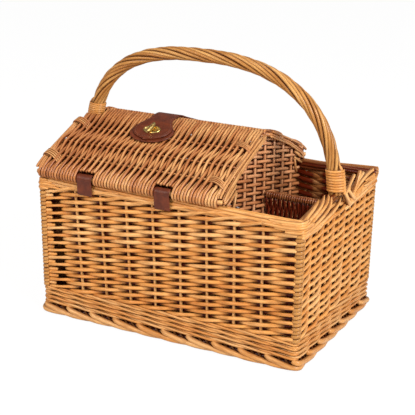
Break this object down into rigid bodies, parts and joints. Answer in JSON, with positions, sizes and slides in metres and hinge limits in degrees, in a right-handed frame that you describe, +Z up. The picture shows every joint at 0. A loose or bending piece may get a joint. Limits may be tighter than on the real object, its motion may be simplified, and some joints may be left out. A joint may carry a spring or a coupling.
{
  "type": "picnic basket",
  "caption": "Rectangular woven willow picnic basket with a bow handle, arched hinged lids, a leather strap with a brass turn lock and open bottle bays at one end.",
  "frame": {"origin": "on the floor, under the middle of the basket's overall box", "axes": "+X along the basket's length towards the bottle bays, +Y from the front to the back, +Z up"},
  "size_m": [0.4699, 0.3222, 0.4344],
  "materials": {
    "willow_body": "satin, honey-coloured willow",
    "willow_lid": "satin, browner willow",
    "willow_handle": "satin, golden-brown willow",
    "leather": "smooth, soft shine",
    "brass": "polished"
  },
  "bodies": {
    "basket": {"foot_border": "willow_body", "bottom_wale": "willow_body", "base_panel": "willow_body", "front_wall": "willow_body", "back_wall": "willow_body", "left_wall": "willow_body", "right_wall": "willow_body", "corner_post_front_left": "willow_body", "corner_post_back_left": "willow_body", "corner_post_front_right": "willow_body", "corner_post_back_right": "willow_body", "border_front": "willow_body", "border_back": "willow_body", "border_right": "willow_body", "divider": "willow_lid", "bottle_partition": "willow_body", "partition_rail": "willow_body", "handle": "willow_handle", "binding_right": "willow_body", "bound_rod_right": "willow_body", "binding_left": "willow_body", "bound_rod_left": "willow_body", "hinge_loop_front_left": "leather", "hinge_loop_front_right": "leather", "hinge_loop_back_left": "leather", "hinge_loop_back_right": "leather"},
    "front_lid": {"front_lid_panel": "willow_lid", "front_lid_hinge_stick": "willow_lid", "front_lid_ridge_stick": "willow_lid", "front_lid_bow_left": "willow_lid", "front_lid_bow_right": "willow_lid", "front_lid_tie_left_1": "willow_lid", "front_lid_tie_left_2": "willow_lid", "front_lid_tie_right_1": "willow_lid", "front_lid_tie_right_2": "willow_lid", "lock_backing_patch": "leather", "lock_plate": "brass"},
    "back_lid": {"back_lid_panel": "willow_lid", "back_lid_hinge_stick": "willow_lid", "back_lid_ridge_stick": "willow_lid", "back_lid_bow_left": "willow_lid", "back_lid_bow_right": "willow_lid", "back_lid_tie_left_1": "willow_lid", "back_lid_tie_left_2": "willow_lid", "back_lid_tie_right_1": "willow_lid", "back_lid_tie_right_2": "willow_lid", "strap_fixed_end": "leather", "strap_rivet_1": "brass", "strap_rivet_2": "brass"},
    "strap": {"closure_strap": "leather"},
    "knob": {"turn_knob": "brass"}
  },
  "joints": [
    {"name": "front_lid_hinge", "type": "hinge", "parent": "basket", "child": "front_lid", "pos_m": [0, -0.154, 0.243], "axis": [1, 0, 0], "range_deg": [0, 150]},
    {"name": "back_lid_hinge", "type": "hinge", "parent": "basket", "child": "back_lid", "pos_m": [0, 0.154, 0.243], "axis": [-1, 0, 0], "range_deg": [0, 150]},
    {"name": "strap_lift", "type": "hinge", "parent": "back_lid", "child": "strap", "pos_m": [-0.079, 0.0139, 0.318], "axis": [-1, 0, 0], "range_deg": [0, 150], "deforming": ["closure_strap"]},
    {"name": "turn_knob_turn", "type": "hinge", "parent": "front_lid", "child": "knob", "pos_m": [-0.079, -0.0518, 0.30843], "axis": [0, -0.3621, 0.9322], "range_deg": [0, 90]}
  ]
}
